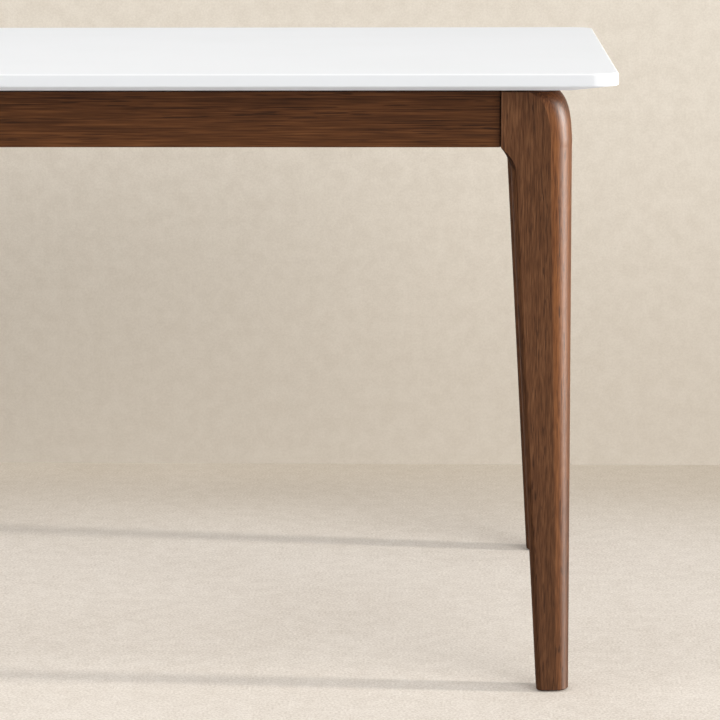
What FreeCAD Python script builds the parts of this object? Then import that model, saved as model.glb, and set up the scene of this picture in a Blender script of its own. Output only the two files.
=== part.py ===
import FreeCAD, Part
import math
import os
import re

import Sketcher
from FreeCAD import Placement, Rotation, Vector

# Driving dimensions, in millimetres unless the name says otherwise
dimensions = {
    # whole table
    "table_length": 1800,
    "table_width": 900,
    "table_height": 750,
    "end_overhang": 52,
    "side_overhang": 52,
    # lacquered top: a square edge over a wide bevel
    "top_thickness": 23,
    "top_edge_height": 15,
    "top_corner_radius": 30,
    "top_edge_round": 2.5,
    "bevel_width": 48,
    "bevel_corner_radius": 12,
    "bevel_edge_round": 2,
    # aprons
    "apron_height": 68,
    "apron_thickness": 22,
    "apron_setback": 8,
    "end_apron_setback": 34,
    "apron_lower_round": 1.5,
    "apron_upper_round": 0.5,
    "joint_reveal": 1.6,
    "reveal_depth": 6,
    "top_reveal": 2.2,
    "top_reveal_depth": 4,
    # legs
    "head_width": 84,
    "head_depth": 62,
    "cove_width": 12,
    "cove_depth": 8,
    "foot_width": 39,
    "foot_depth": 40,
    "cove_height": 30,
    "outer_round": 29.5,
    "foot_outer_round": 17,
    "front_crease": 8,
    "back_round": 11,
    "foot_back_round": 11,
    "inner_round": 12,
    "foot_inner_round": 8,
    "inner_crease": 26,
    "foot_inner_crease": 12,
    "head_arris": 0.6,
    "shoulder_inset": 17,
    "shoulder_spread": 0.6,
    "foot_ease": 1.5,
    "bolt_flat": 18,
    # corner blocks
    "block_gap": 6,
    "block_thickness": 28,
    "block_margin": 5,
    "block_ease": 1.5,
    "block_screw_edge": 14,
    "block_screw_seat": 8,
    "block_screw_spacing": 32,
    # hanger bolts with their washers and nuts
    "bolt_radius": 4,
    "bolt_grip": 45,
    "bolt_point": 6,
    "bolt_tip_radius": 1,
    "bolt_tail": 4,
    "bolt_spacing": 24,
    "bolt_room": 0.5,
    "washer_radius": 9,
    "washer_thickness": 1.6,
    "nut_width": 13,
    "nut_height": 6.5,
    # wood screws
    "screw_radius": 2,
    "screw_point": 5,
    "screw_tip_radius": 0.25,
    "screw_recess_width": 1.1,
    "screw_recess_reach": 1.9,
    "screw_recess_depth": 1.4,
    "block_screw_length": 24,
    "block_screw_head_radius": 4.2,
    "block_screw_head_height": 3,
    "block_screw_head_round": 1.2,
    "plate_screw_length": 16,
    "plate_screw_head_radius": 4,
    "plate_screw_head_height": 2,
    # dowels
    "dowel_radius": 4,
    "dowel_length": 36,
    "dowel_chamfer": 0.8,
    "dowel_edge": 10,
    # cross rails
    "rail_offset": 300,
    "rail_width": 40,
    "rail_height": 45,
    "rail_round": 2,
    "rail_dowel_spacing": 20,
    # figure-eight plates between aprons and top
    "plate_thickness": 3,
    "plate_lobe_radius": 8.5,
    "plate_lobe_lap": 3,
    "plate_pitch": 560,
    # levelling glides
    "glide_gap": 1.5,
    "glide_base_radius": 13,
    "glide_base_height": 7,
    "glide_base_round": 1.5,
    "glide_base_room": 0.6,
    "glide_seat_gap": 0.3,
    "glide_socket_depth": 4,
    "stud_radius": 4,
    "stud_length": 32,
    "stud_chamfer": 0.8,
    "stud_end_room": 10,
    "insert_radius": 6,
    "insert_length": 15,
    # clearances, on the radius and at the bottom of a blind hole
    "hole_end_room": 1,
    "fastener_clearance": 0.08,
    "thread_clearance": 0.05,
    "plate_clearance": 0.25,
}

# Places worked out from the driving dimensions
places = {
    "underside": "table_height - top_thickness",
    "edge_foot": "table_height - top_edge_height",
    "apron_low": "underside - apron_height",
    "leg_face_x": "table_length / 2 - end_overhang",
    "leg_face_y": "table_width / 2 - side_overhang",
    "apron_length": "2 * (leg_face_x - head_width)",
    "end_apron_length": "2 * (leg_face_y - head_depth)",
    "apron_inner": "apron_setback + apron_thickness",
    "end_apron_inner": "end_apron_setback + apron_thickness",
    "apron_middle": "apron_setback + apron_thickness / 2",
    "end_apron_middle": "end_apron_setback + apron_thickness / 2",
    "joint_level": "apron_low + apron_height / 2",
    "head_top": "underside - top_reveal",
    "head_height": "apron_height - top_reveal",
    "dowel_spacing": "apron_height - 2 * dowel_edge",
    "neck_level": "apron_low - cove_height",
    "neck_width": "head_width - cove_width",
    "neck_depth": "head_depth - cove_depth",
    "taper_slope": "(neck_width - foot_width) / (neck_level - glide_gap)",
    "depth_slope": "(neck_depth - foot_depth) / (neck_level - glide_gap)",
    "flat_sum": "head_width + head_depth - bolt_flat",
    "block_outer_sum": "flat_sum + sqrt(2) * block_gap",
    "block_inner_sum": "block_outer_sum + sqrt(2) * block_thickness",
    "block_low": "apron_low + block_margin",
    "block_height": "apron_height - 2 * block_margin",
    "block_screw_along": "block_inner_sum - apron_inner - block_screw_edge",
    "block_screw_across": "block_inner_sum - end_apron_inner - block_screw_edge",
    "bolt_length": "bolt_grip + block_gap + block_thickness + washer_thickness + nut_height + bolt_tail",
    "bolt_hole_radius": "bolt_radius + bolt_room",
    "bolt_start_u": "head_width - bolt_flat / 2",
    "bolt_start_v": "head_depth - bolt_flat / 2",
    "rail_length": "2 * (leg_face_y - apron_inner)",
    "rail_level": "underside - rail_height / 2",
    "plate_lobe_spacing": "2 * plate_lobe_radius - plate_lobe_lap",
    "plate_inset": "plate_lobe_spacing / 2",
    "plate_level": "underside - plate_thickness",
    "plate_line": "leg_face_y - apron_inner + plate_inset",
    "plate_end_line": "leg_face_x - end_apron_inner + plate_inset",
    "glide_ceiling": "glide_base_height + glide_seat_gap",
    "stud_low": "glide_base_height - glide_socket_depth",
}

# The shoulder leans in along two powers of the height: a long sweep and a tight turn at the very top
shoulder_sweep_power = 2.6
shoulder_turn_power = 9
shoulder_turn_share = 0.4
shoulder_sections = 7
shoulder_crowding = 1.8
cove_sections = 4

up = Vector(0, 0, 1)
down = Vector(0, 0, -1)
level_tolerance = 1e-4
corners = {
    "front_left": (-1, -1),
    "front_right": (1, -1),
    "back_left": (-1, 1),
    "back_right": (1, 1),
}

doc = FreeCAD.newDocument("dining_table")
sheet = doc.addObject("Spreadsheet::Sheet", "sizes")
for row, (alias, size) in enumerate(dimensions.items(), start=1):
    sheet.set(f"A{row}", alias)
    sheet.set(f"B{row}", str(size))
    sheet.setAlias(f"B{row}", alias)
doc.recompute()
subparts = []


def sized(formula):
    """Spell a formula out in cells of the sheet."""
    def spell(match):
        word = match.group()
        if word in places:
            return f"({sized(places[word])})"
        if word in dimensions:
            return f"sizes.{word}"
        return word
    return re.sub(r"[a-z][a-z_]*", spell, str(formula))


def number(formula):
    return float(sheet.evalExpression(sized(formula)))


def tie(item, **formulas):
    for name, formula in formulas.items():
        item.setExpression(name, sized(formula))


def put(item, x=0, y=0, z=0, turn=None):
    """Place an item by three formulas and an optional rotation."""
    if turn is not None:
        item.Placement = Placement(Vector(), turn)
    for axis, formula in (("x", x), ("y", y), ("z", z)):
        item.setExpression(f"Placement.Base.{axis}", sized(formula))


def facing(direction):
    return Rotation(up, direction)


def new_body(label):
    return doc.addObject("PartDesign::Body", label)


def keep(item):
    subparts.append(item)
    return item


def mirrored(source, label, normal):
    copy = doc.addObject("Part::Mirroring", label)
    copy.Source = source
    copy.Normal = normal
    return copy


def new_sketch(body, name, role, offset):
    plane = next(item for item in body.Origin.OriginFeatures if item.Role == role)
    sketch = body.newObject("Sketcher::SketchObject", name)
    sketch.AttachmentSupport = [(plane, "")]
    sketch.MapMode = "FlatFace"
    sketch.setExpression("AttachmentOffset.Base.z", sized(offset))
    return sketch


def hold(sketch, name, formula, kind, *where):
    """Add a named dimension to a sketch and bind it to a formula."""
    index = sketch.addConstraint(Sketcher.Constraint(kind, *where, number(formula)))
    sketch.renameConstraint(index, name)
    sketch.setExpression(f"Constraints.{name}", sized(formula))


def hold_from_origin(sketch, name, formula, axis, line, point):
    """Hold a line's point at a distance from the sketch's origin, or on its axis where that is zero."""
    if formula == 0:
        axis_line = -1 if axis == "Y" else -2
        sketch.addConstraint(Sketcher.Constraint("PointOnObject", line, point, axis_line))
        return
    hold(sketch, name, formula, f"Distance{axis}", -1, 1, line, point)


def round_outline(body, name, role, offset, sides, rounds, creases=(0, 0)):
    """Sketch a rectangle from its low and high sides, with a round of its own at each corner.

    The first two rounds may meet the low side at an angle, in degrees, instead of running out along it.
    """
    sketch = new_sketch(body, name, role, offset)
    low_x, high_x, low_y, high_y = [number(side) for side in sides]
    radii = [number(formula) for formula in rounds]
    lifted = [f"{sides[2]} + ({size}) * cos({crease})" for size, crease in zip(rounds, creases)]
    first_turn, second_turn = [math.radians(number(crease)) for crease in creases]
    centres = [
        Vector(low_x + radii[0], number(lifted[0]), 0),
        Vector(high_x - radii[1], number(lifted[1]), 0),
        Vector(high_x - radii[2], high_y - radii[2], 0),
        Vector(low_x + radii[3], high_y - radii[3], 0),
    ]
    arcs = []
    for corner, (centre, radius) in enumerate(zip(centres, radii)):
        start = math.pi + corner * math.pi / 2
        end = start + math.pi / 2
        if corner == 0:
            end -= first_turn
        if corner == 1:
            start += second_turn
        arcs.append(Part.ArcOfCircle(Part.Circle(centre, up, radius), start, end))
    geometry = []
    for corner in range(4):
        following = arcs[(corner + 1) % 4]
        geometry.append(Part.LineSegment(arcs[corner].EndPoint, following.StartPoint))
        geometry.append(following)
    sketch.addGeometry(geometry)
    creased = {7: creases[0], 0: creases[1]}
    for index in range(8):
        kind = "Coincident" if creased.get(index) else "Tangent"
        sketch.addConstraint(Sketcher.Constraint(kind, index, 2, (index + 1) % 8, 1))
    for index, kind in ((0, "Horizontal"), (2, "Vertical"), (4, "Horizontal"), (6, "Vertical")):
        sketch.addConstraint(Sketcher.Constraint(kind, index))
    hold_from_origin(sketch, "low_y", sides[2], "Y", 0, 1)
    hold_from_origin(sketch, "high_x", sides[1], "X", 2, 1)
    hold_from_origin(sketch, "high_y", sides[3], "Y", 4, 1)
    hold_from_origin(sketch, "low_x", sides[0], "X", 6, 1)
    for corner, arc_index in enumerate((7, 1, 3, 5)):
        hold(sketch, f"round_{corner}", rounds[corner], "Radius", arc_index)
    for corner, arc_index in enumerate((7, 1)):
        if creases[corner]:
            hold(sketch, f"round_centre_{corner}", lifted[corner], "DistanceY", -1, 1, arc_index, 3)
    return sketch


def corner_outline(body, name, offset, points):
    """Sketch a polygon from its corners, each held by two formulas."""
    sketch = new_sketch(body, name, "XY_Plane", offset)
    spots = [Vector(number(x), number(y), 0) for x, y in points]
    count = len(spots)
    for index in range(count):
        sketch.addGeometry(Part.LineSegment(spots[index], spots[(index + 1) % count]))
    for index in range(count):
        sketch.addConstraint(Sketcher.Constraint("Coincident", index, 2, (index + 1) % count, 1))
    for index, (x, y) in enumerate(points):
        hold(sketch, f"corner_{index}_x", x, "DistanceX", -1, 1, index, 1)
        hold(sketch, f"corner_{index}_y", y, "DistanceY", -1, 1, index, 1)
    return sketch


def pad(body, name, sketch, length):
    feature = body.newObject("PartDesign::Pad", name)
    feature.Profile = sketch
    tie(feature, Length=length)
    return feature


def loft(body, name, sections, ruled):
    feature = body.newObject("PartDesign::AdditiveLoft", name)
    feature.Profile = sections[0]
    feature.Sections = sections[1:]
    feature.Ruled = ruled
    return feature


def rod(body, name, radius, length, x=0, y=0, z=0, direction=up, cut=False):
    """Add a round rod to a body, or bore it out, from a start point along a direction."""
    kind = "PartDesign::SubtractiveCylinder" if cut else "PartDesign::AdditiveCylinder"
    feature = body.newObject(kind, name)
    tie(feature, Radius=radius, Height=length)
    put(feature, x, y, z, facing(direction))
    return feature


def bore(body, name, radius, depth, x=0, y=0, z=0, direction=up):
    return rod(body, name, radius, depth, x, y, z, direction, cut=True)


def taper(body, name, base_radius, end_radius, length, z=0, cut=False):
    kind = "PartDesign::SubtractiveCone" if cut else "PartDesign::AdditiveCone"
    feature = body.newObject(kind, name)
    tie(feature, Radius1=base_radius, Radius2=end_radius, Height=length)
    put(feature, z=z)
    return feature


def notch(body, name, length, width, height, x=0, y=0, z=0, turn=None):
    feature = body.newObject("PartDesign::SubtractiveBox", name)
    tie(feature, Length=length, Width=width, Height=height)
    put(feature, x, y, z, turn)
    return feature


def level_edges(feature, level):
    """Name the edges of a feature that lie flat at one level."""
    names = []
    for index, edge in enumerate(feature.Shape.Edges, start=1):
        heights = [vertex.Z for vertex in edge.Vertexes] + [edge.CenterOfMass.z]
        if all(abs(height - level) < level_tolerance for height in heights):
            names.append(f"Edge{index}")
    return names


def ease_level(body, name, kind, level, size):
    """Round or chamfer every edge of the body that lies flat at one level."""
    doc.recompute()
    base = body.Tip
    feature = body.newObject(f"PartDesign::{kind}", name)
    feature.Base = (base, level_edges(base, number(level)))
    if kind == "Fillet":
        tie(feature, Radius=size)
    else:
        tie(feature, Size=size)
    return feature


def spread(label, master, spots):
    """Gather copies of a small piece, one at each spot, under one name."""
    copies = []
    for count, spot in enumerate(spots, start=1):
        copy = doc.addObject("App::Link", f"{label}_{count}")
        copy.LinkedObject = master
        copy.Placement = spot
        copies.append(copy)
    group = doc.addObject("Part::Compound", label)
    group.Links = copies
    return keep(group)


def corner_spots(x, y, z, direction):
    """Repeat a spot, given inward from a leg's outer faces, at the four corners."""
    spots = []
    for side_x, side_y in corners.values():
        base = Vector(
            side_x * (number("leg_face_x") - number(x)),
            side_y * (number("leg_face_y") - number(y)),
            number(z),
        )
        aim = Vector(-side_x * direction[0], -side_y * direction[1], direction[2])
        spots.append(Placement(base, facing(aim)))
    return spots


def pair_levels(middle, spacing):
    return [f"{middle} - {spacing} / 2", f"{middle} + {spacing} / 2"]


def make_tabletop():
    """Square-edged panel with rounded corners over a bevel that runs in to a smaller flat underside."""
    body = new_body("tabletop")
    rim_sides = [0, "table_length", 0, "table_width"]
    flat_sides = ["bevel_width", "table_length - bevel_width", "bevel_width", "table_width - bevel_width"]
    rim = round_outline(body, "rim_outline", "XY_Plane", "edge_foot", rim_sides, ["top_corner_radius"] * 4)
    flat_rounds = ["bevel_corner_radius"] * 4
    flat = round_outline(body, "flat_outline", "XY_Plane", "underside", flat_sides, flat_rounds)
    pad(body, "panel", rim, "top_edge_height")
    loft(body, "bevel", [flat, rim], ruled=True)
    ease_level(body, "upper_edge", "Fillet", "table_height", "top_edge_round")
    ease_level(body, "lower_edge", "Fillet", "edge_foot", "bevel_edge_round")
    for index, (x, y, direction) in enumerate(plate_places()):
        along = f"{x} + {direction.x} * plate_lobe_spacing + table_length / 2"
        across = f"{y} + {direction.y} * plate_lobe_spacing + table_width / 2"
        bore(body, f"pilot_{index}", "screw_radius + fastener_clearance",
             "plate_screw_length - plate_thickness + hole_end_room", along, across, "underside")
    put(body, "-table_length / 2", "-table_width / 2")
    return keep(body)


def shoulder_lean(share):
    """Lean-in of the outer face as a share of the whole, from the shoulder's foot (0) to its top (1)."""
    sweep = (1 - shoulder_turn_share) * share ** shoulder_sweep_power
    turn = shoulder_turn_share * share ** shoulder_turn_power
    return sweep + turn


def cove_side(share, wide, narrow, slope):
    """Inner side of the leg between neck and head: the taper carried on, plus a circular cove."""
    rise = f"{share} * cove_height"
    swell = f"({wide} - {narrow} - {slope} * cove_height)"
    radius = f"((cove_height * cove_height + {swell} * {swell}) / (2 * {swell}))"
    arc = f"({radius} - sqrt({radius} * {radius} - {rise} * {rise}))"
    return f"{narrow} + {slope} * {rise} + {arc}"


def make_leg():
    """Front left leg, drawn inward from its outer faces: flat front, wide outer round, tapered inside.

    Outer and inner round meet the flat front at an angle, which leaves a fine line down either side.
    """
    body = new_body("front_left_leg")

    def section(name, level, sides, rounds, inner_crease="inner_crease"):
        return round_outline(body, name, "XY_Plane", level, sides, rounds, ["front_crease", inner_crease])

    foot_rounds = ["foot_outer_round", "foot_inner_round", "foot_inner_round", "foot_back_round"]
    sole_sides = ["foot_ease", "foot_width - foot_ease", "foot_ease", "foot_depth - foot_ease"]
    sole_rounds = [f"{formula} - foot_ease" for formula in foot_rounds]
    foot_sides = [0, "foot_width", 0, "foot_depth"]
    sole = section("sole", "glide_gap", sole_sides, sole_rounds, "foot_inner_crease")
    foot = section("foot", "glide_gap + foot_ease", foot_sides, foot_rounds, "foot_inner_crease")

    cove = []
    for step in range(cove_sections + 1):
        share = step / cove_sections
        width = cove_side(share, "head_width", "neck_width", "taper_slope")
        depth = cove_side(share, "head_depth", "neck_depth", "depth_slope")
        inner = f"inner_round + {share ** 2} * (head_arris - inner_round)"
        rounds = ["outer_round", inner, inner, "back_round"]
        level = f"neck_level + {share} * cove_height"
        cove.append(section(f"cove_{step}", level, [0, width, 0, depth], rounds))

    head = [cove[-1]]
    for step in range(1, shoulder_sections + 1):
        share = 1 - (1 - step / shoulder_sections) ** shoulder_crowding
        lean = f"{shoulder_lean(share)} * shoulder_inset"
        rounds = [f"outer_round + shoulder_spread * {lean}", "head_arris", "head_arris", "back_round"]
        level = f"apron_low + {share} * head_height"
        head.append(section(f"head_{step}", level, [lean, "head_width", 0, "head_depth"], rounds))
    seat_sides = ["shoulder_inset + top_reveal_depth", "head_width", "top_reveal_depth", "head_depth"]
    seat_round = "outer_round + shoulder_spread * shoulder_inset - top_reveal_depth"
    seat = section("seat", "head_top", seat_sides, [seat_round, "head_arris", "head_arris", "back_round"])

    loft(body, "foot_edge", [sole, foot], ruled=True)
    loft(body, "shaft", [foot, cove[0]], ruled=True)
    loft(body, "neck", cove, ruled=False)
    loft(body, "shoulder", head, ruled=False)
    pad(body, "top_seat", seat, "top_reveal")

    notch(body, "bolt_face", "2 * sqrt(2) * bolt_flat", "bolt_flat", "apron_height",
          "head_width - bolt_flat * 3 / 2", "head_depth + bolt_flat / 2", "apron_low",
          Rotation(up, -45))
    inward = Vector(-1, -1, 0)
    for index, level in enumerate(pair_levels("joint_level", "bolt_spacing")):
        bore(body, f"bolt_hole_{index}", "bolt_radius + fastener_clearance", "bolt_grip + hole_end_room",
             "bolt_start_u", "bolt_start_v", level, inward)
    dowel_radius = "dowel_radius + fastener_clearance"
    dowel_depth = "dowel_length / 2 + hole_end_room"
    for index, level in enumerate(pair_levels("joint_level", "dowel_spacing")):
        bore(body, f"apron_dowel_hole_{index}", dowel_radius, dowel_depth,
             "head_width", "apron_middle", level, Vector(-1, 0, 0))
        bore(body, f"end_dowel_hole_{index}", dowel_radius, dowel_depth,
             "end_apron_middle", "head_depth", level, Vector(0, -1, 0))
    centre = ["foot_width / 2", "foot_depth / 2"]
    bore(body, "glide_recess", "glide_base_radius + glide_base_room", "glide_ceiling - glide_gap",
         *centre, "glide_gap")
    bore(body, "insert_hole", "insert_radius + fastener_clearance", "insert_length",
         *centre, "glide_ceiling")
    bore(body, "stud_hole", "stud_radius + glide_base_room",
         "stud_low + stud_length + stud_end_room - glide_ceiling", *centre, "glide_ceiling")
    put(body, "-leg_face_x", "-leg_face_y")
    return body


def make_apron(label, length, plates, rails, block_screws):
    """Apron drawn from its outer lower edge at one end, with every hole that its joints need."""
    body = new_body(label)
    rounds = ["apron_lower_round", "apron_lower_round", "apron_upper_round", "apron_upper_round"]
    sides = [0, "apron_thickness", 0, "apron_height"]
    section = round_outline(body, f"{label}_section", "YZ_Plane", 0, sides, rounds)
    pad(body, f"{label}_bar", section, length)
    notch(body, f"{label}_top_reveal", length, "top_reveal_depth", "top_reveal", z="head_height")
    into_bar = Vector(0, -1, 0)
    for end, (start, corner, aim) in enumerate(((0, 0, 1), (length, f"{length} - joint_reveal", -1))):
        notch(body, f"{label}_reveal_{end}", "joint_reveal", "reveal_depth", "apron_height", corner)
        for index, level in enumerate(pair_levels("apron_height / 2", "dowel_spacing")):
            bore(body, f"{label}_dowel_hole_{end}{index}", "dowel_radius + fastener_clearance",
                 "dowel_length / 2 + hole_end_room", start, "apron_thickness / 2", level, Vector(aim, 0, 0))
        for index, level in enumerate(pair_levels("apron_height / 2", "block_screw_spacing")):
            along = block_screws if end == 0 else f"{length} - ({block_screws})"
            bore(body, f"{label}_block_pilot_{end}{index}", "screw_radius + fastener_clearance",
                 "block_screw_length - block_screw_seat + hole_end_room",
                 along, "apron_thickness", level, into_bar)
    for index, along in enumerate(plates):
        spot = [along, "apron_thickness - plate_inset"]
        bore(body, f"{label}_plate_seat_{index}", "plate_lobe_radius + plate_clearance", "plate_thickness",
             *spot, "apron_height - plate_thickness")
        bore(body, f"{label}_plate_pilot_{index}", "screw_radius + fastener_clearance",
             "plate_screw_length + hole_end_room", *spot, "apron_height", down)
    for index, along in enumerate(rails):
        for side, shift in enumerate(pair_levels("0", "rail_dowel_spacing")):
            bore(body, f"{label}_rail_hole_{index}{side}", "dowel_radius + fastener_clearance",
                 "apron_thickness / 2 + hole_end_room", f"{along} + {shift}", "apron_thickness",
                 "rail_level - apron_low", into_bar)
    return body


def make_aprons():
    middle = "apron_length / 2"
    plates = [f"{middle} - plate_pitch", middle, f"{middle} + plate_pitch"]
    rails = [f"{middle} - rail_offset", f"{middle} + rail_offset"]
    front = make_apron("front_apron", "apron_length", plates, rails, "block_screw_along - head_width")
    put(front, "head_width - leg_face_x", "apron_setback - leg_face_y", "apron_low")
    left = make_apron("left_end_apron", "end_apron_length", ["end_apron_length / 2"], [],
                      "block_screw_across - head_depth")
    put(left, "end_apron_setback - leg_face_x", "leg_face_y - head_depth", "apron_low", Rotation(up, -90))
    keep(front)
    keep(mirrored(front, "back_apron", Vector(0, 1, 0)))
    keep(left)
    keep(mirrored(left, "right_end_apron", Vector(1, 0, 0)))


def make_corner_block():
    """Block across the front left corner, its ends cut to lie flat on the two aprons."""
    body = new_body("front_left_corner_block")
    points = [
        ("block_outer_sum - apron_inner", "apron_inner"),
        ("block_inner_sum - apron_inner", "apron_inner"),
        ("end_apron_inner", "block_inner_sum - end_apron_inner"),
        ("end_apron_inner", "block_outer_sum - end_apron_inner"),
    ]
    plan = corner_outline(body, "block_plan", "block_low", points)
    pad(body, "block", plan, "block_height")
    ease_level(body, "block_lower_edge", "Chamfer", "block_low", "block_ease")
    ease_level(body, "block_upper_edge", "Chamfer", "block_low + block_height", "block_ease")
    for index, level in enumerate(pair_levels("joint_level", "bolt_spacing")):
        bore(body, f"block_bolt_hole_{index}", "bolt_hole_radius", "bolt_length",
             "bolt_start_u", "bolt_start_v", level, Vector(1, 1, 0))
    screw_hole = "screw_radius + fastener_clearance"
    head_hole = "block_screw_head_radius + plate_clearance"
    for index, level in enumerate(pair_levels("joint_level", "block_screw_spacing")):
        bore(body, f"along_hole_{index}", screw_hole, "block_screw_seat",
             "block_screw_along", "apron_inner", level, Vector(0, 1, 0))
        bore(body, f"along_seat_{index}", head_hole, "block_thickness",
             "block_screw_along", "apron_inner + block_screw_seat", level, Vector(0, 1, 0))
        bore(body, f"across_hole_{index}", screw_hole, "block_screw_seat",
             "end_apron_inner", "block_screw_across", level, Vector(1, 0, 0))
        bore(body, f"across_seat_{index}", head_hole, "block_thickness",
             "end_apron_inner + block_screw_seat", "block_screw_across", level, Vector(1, 0, 0))
    put(body, "-leg_face_x", "-leg_face_y")
    return body


def make_four(front_left, name):
    """Keep a front left piece and mirror it to the other three corners."""
    keep(front_left)
    front_right = keep(mirrored(front_left, f"front_right_{name}", Vector(1, 0, 0)))
    keep(mirrored(front_left, f"back_left_{name}", Vector(0, 1, 0)))
    keep(mirrored(front_right, f"back_right_{name}", Vector(0, 1, 0)))


def cross_recess(body, top):
    """Cut a cross-shaped driver recess down from the top of a head."""
    for index, angle in enumerate((45, 135)):
        turn = Rotation(up, angle)
        start = turn.multVec(Vector(-number("screw_recess_reach"), -number("screw_recess_width") / 2, 0))
        notch(body, f"recess_{index}", "2 * screw_recess_reach", "screw_recess_width", "screw_recess_depth",
              start.x, start.y, f"{top} - screw_recess_depth", turn)


def make_block_screw():
    """Round-headed wood screw, its head's seat at the origin and its point down."""
    body = new_body("block_screw")
    rod(body, "head", "block_screw_head_radius", "block_screw_head_height")
    ease_level(body, "head_round", "Fillet", "block_screw_head_height", "block_screw_head_round")
    rod(body, "shank", "screw_radius", "block_screw_length - screw_point", direction=down)
    taper(body, "point", "screw_tip_radius", "screw_radius", "screw_point", "-block_screw_length")
    cross_recess(body, "block_screw_head_height")
    return body


def make_plate_screw():
    """Countersunk wood screw, its flat head at the origin and its point down."""
    body = new_body("plate_screw")
    taper(body, "head", "screw_radius", "plate_screw_head_radius", "plate_screw_head_height",
          "-plate_screw_head_height")
    rod(body, "shank", "screw_radius", "plate_screw_length - screw_point", direction=down)
    taper(body, "point", "screw_tip_radius", "screw_radius", "screw_point", "-plate_screw_length")
    cross_recess(body, "0")
    return body


def make_plate():
    """Figure-eight plate: one lobe lies in the apron, the other reaches in under the top."""
    body = new_body("plate")
    far = "plate_lobe_spacing"
    rod(body, "apron_lobe", "plate_lobe_radius", "plate_thickness")
    rod(body, "top_lobe", "plate_lobe_radius", "plate_thickness", far)
    hole = "screw_radius + fastener_clearance"
    head = "plate_screw_head_radius + fastener_clearance"
    bore(body, "apron_hole", hole, "plate_thickness")
    bore(body, "top_hole", hole, "plate_thickness", far)
    taper(body, "apron_sink", hole, head, "plate_screw_head_height",
          "plate_thickness - plate_screw_head_height", cut=True)
    sink = taper(body, "top_sink", head, hole, "plate_screw_head_height", cut=True)
    put(sink, far)
    return body


def make_hanger_bolt():
    """Headless bolt: wood-screw point inside the leg, machine thread out through the block."""
    body = new_body("hanger_bolt")
    rod(body, "shank", "bolt_radius", "bolt_length - bolt_point", z="bolt_point - bolt_grip")
    taper(body, "point", "bolt_tip_radius", "bolt_radius", "bolt_point", "-bolt_grip")
    ease_level(body, "tail_edge", "Chamfer", "bolt_length - bolt_grip", "stud_chamfer")
    return body


def make_washer():
    body = new_body("washer")
    rod(body, "disc", "washer_radius", "washer_thickness")
    bore(body, "hole", "bolt_hole_radius", "washer_thickness")
    return body


def make_nut():
    """Hexagon nut, drawn across its flats."""
    body = new_body("nut")
    prism = body.newObject("PartDesign::AdditivePrism", "hexagon")
    prism.Polygon = 6
    tie(prism, Circumradius="nut_width / sqrt(3)", Height="nut_height")
    bore(body, "hole", "bolt_radius + thread_clearance", "nut_height")
    return body


def make_dowel():
    """Chamfered dowel, centred on its joint."""
    body = new_body("dowel")
    rod(body, "pin", "dowel_radius", "dowel_length", z="-dowel_length / 2")
    ease_level(body, "near_edge", "Chamfer", "-dowel_length / 2", "dowel_chamfer")
    ease_level(body, "far_edge", "Chamfer", "dowel_length / 2", "dowel_chamfer")
    return body


def make_insert():
    """Threaded insert pressed into the foot, its lower face at the origin."""
    body = new_body("insert")
    rod(body, "sleeve", "insert_radius", "insert_length")
    bore(body, "thread", "stud_radius + thread_clearance", "insert_length")
    return body


def make_cross_rail():
    """Batten between the long aprons, flush with their upper edges."""
    body = new_body("left_cross_rail")
    sides = [0, "rail_width", 0, "rail_height"]
    section = round_outline(body, "rail_section", "YZ_Plane", 0, sides, ["rail_round"] * 4)
    pad(body, "rail_bar", section, "rail_length")
    for end, (start, aim) in enumerate(((0, 1), ("rail_length", -1))):
        for index, across in enumerate(pair_levels("rail_width / 2", "rail_dowel_spacing")):
            bore(body, f"rail_dowel_hole_{end}{index}", "dowel_radius + fastener_clearance",
                 "dowel_length - apron_thickness / 2 + hole_end_room", start, across, "rail_height / 2",
                 Vector(aim, 0, 0))
    across = Rotation(up, -90)
    put(body, "-rail_offset - rail_width / 2", "rail_length / 2", "underside - rail_height", across)
    return body


def make_glide(corner, side_x, side_y):
    """Levelling glide: a round nylon base on a threaded stud, in line with the foot's insert."""
    base = new_body(f"{corner}_glide_base")
    rod(base, f"{corner}_disc", "glide_base_radius", "glide_base_height")
    ease_level(base, f"{corner}_lower_edge", "Fillet", 0, "glide_base_round")
    bore(base, f"{corner}_socket", "stud_radius + thread_clearance", "glide_socket_depth", z="stud_low")
    stud = new_body(f"{corner}_glide_stud")
    rod(stud, f"{corner}_thread", "stud_radius", "stud_length", z="stud_low")
    ease_level(stud, f"{corner}_stud_edge", "Chamfer", "stud_low + stud_length", "stud_chamfer")
    for piece in (base, stud):
        put(piece, f"{side_x} * (leg_face_x - foot_width / 2)", f"{side_y} * (leg_face_y - foot_depth / 2)")
        keep(piece)


def plate_places():
    """Each figure-eight plate's place on its apron, and the way its free lobe points under the top."""
    found = []
    for side in (-1, 1):
        for step in (-1, 0, 1):
            found.append((f"{step} * plate_pitch", f"{side} * plate_line", Vector(0, -side, 0)))
        found.append((f"{side} * plate_end_line", "0", Vector(-side, 0, 0)))
    return found


def make_top_fasteners():
    plate_spots = []
    screw_spots = []
    for x, y, direction in plate_places():
        base = Vector(number(x), number(y), number("plate_level"))
        plate_spots.append(Placement(base, Rotation(Vector(1, 0, 0), direction)))
        in_apron = base + up * number("plate_thickness")
        in_top = base + direction * number("plate_lobe_spacing")
        screw_spots.append(Placement(in_apron, Rotation()))
        screw_spots.append(Placement(in_top, facing(down)))
    spread("top_fastener_plates", make_plate(), plate_spots)
    spread("top_fastener_screws", make_plate_screw(), screw_spots)


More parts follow.
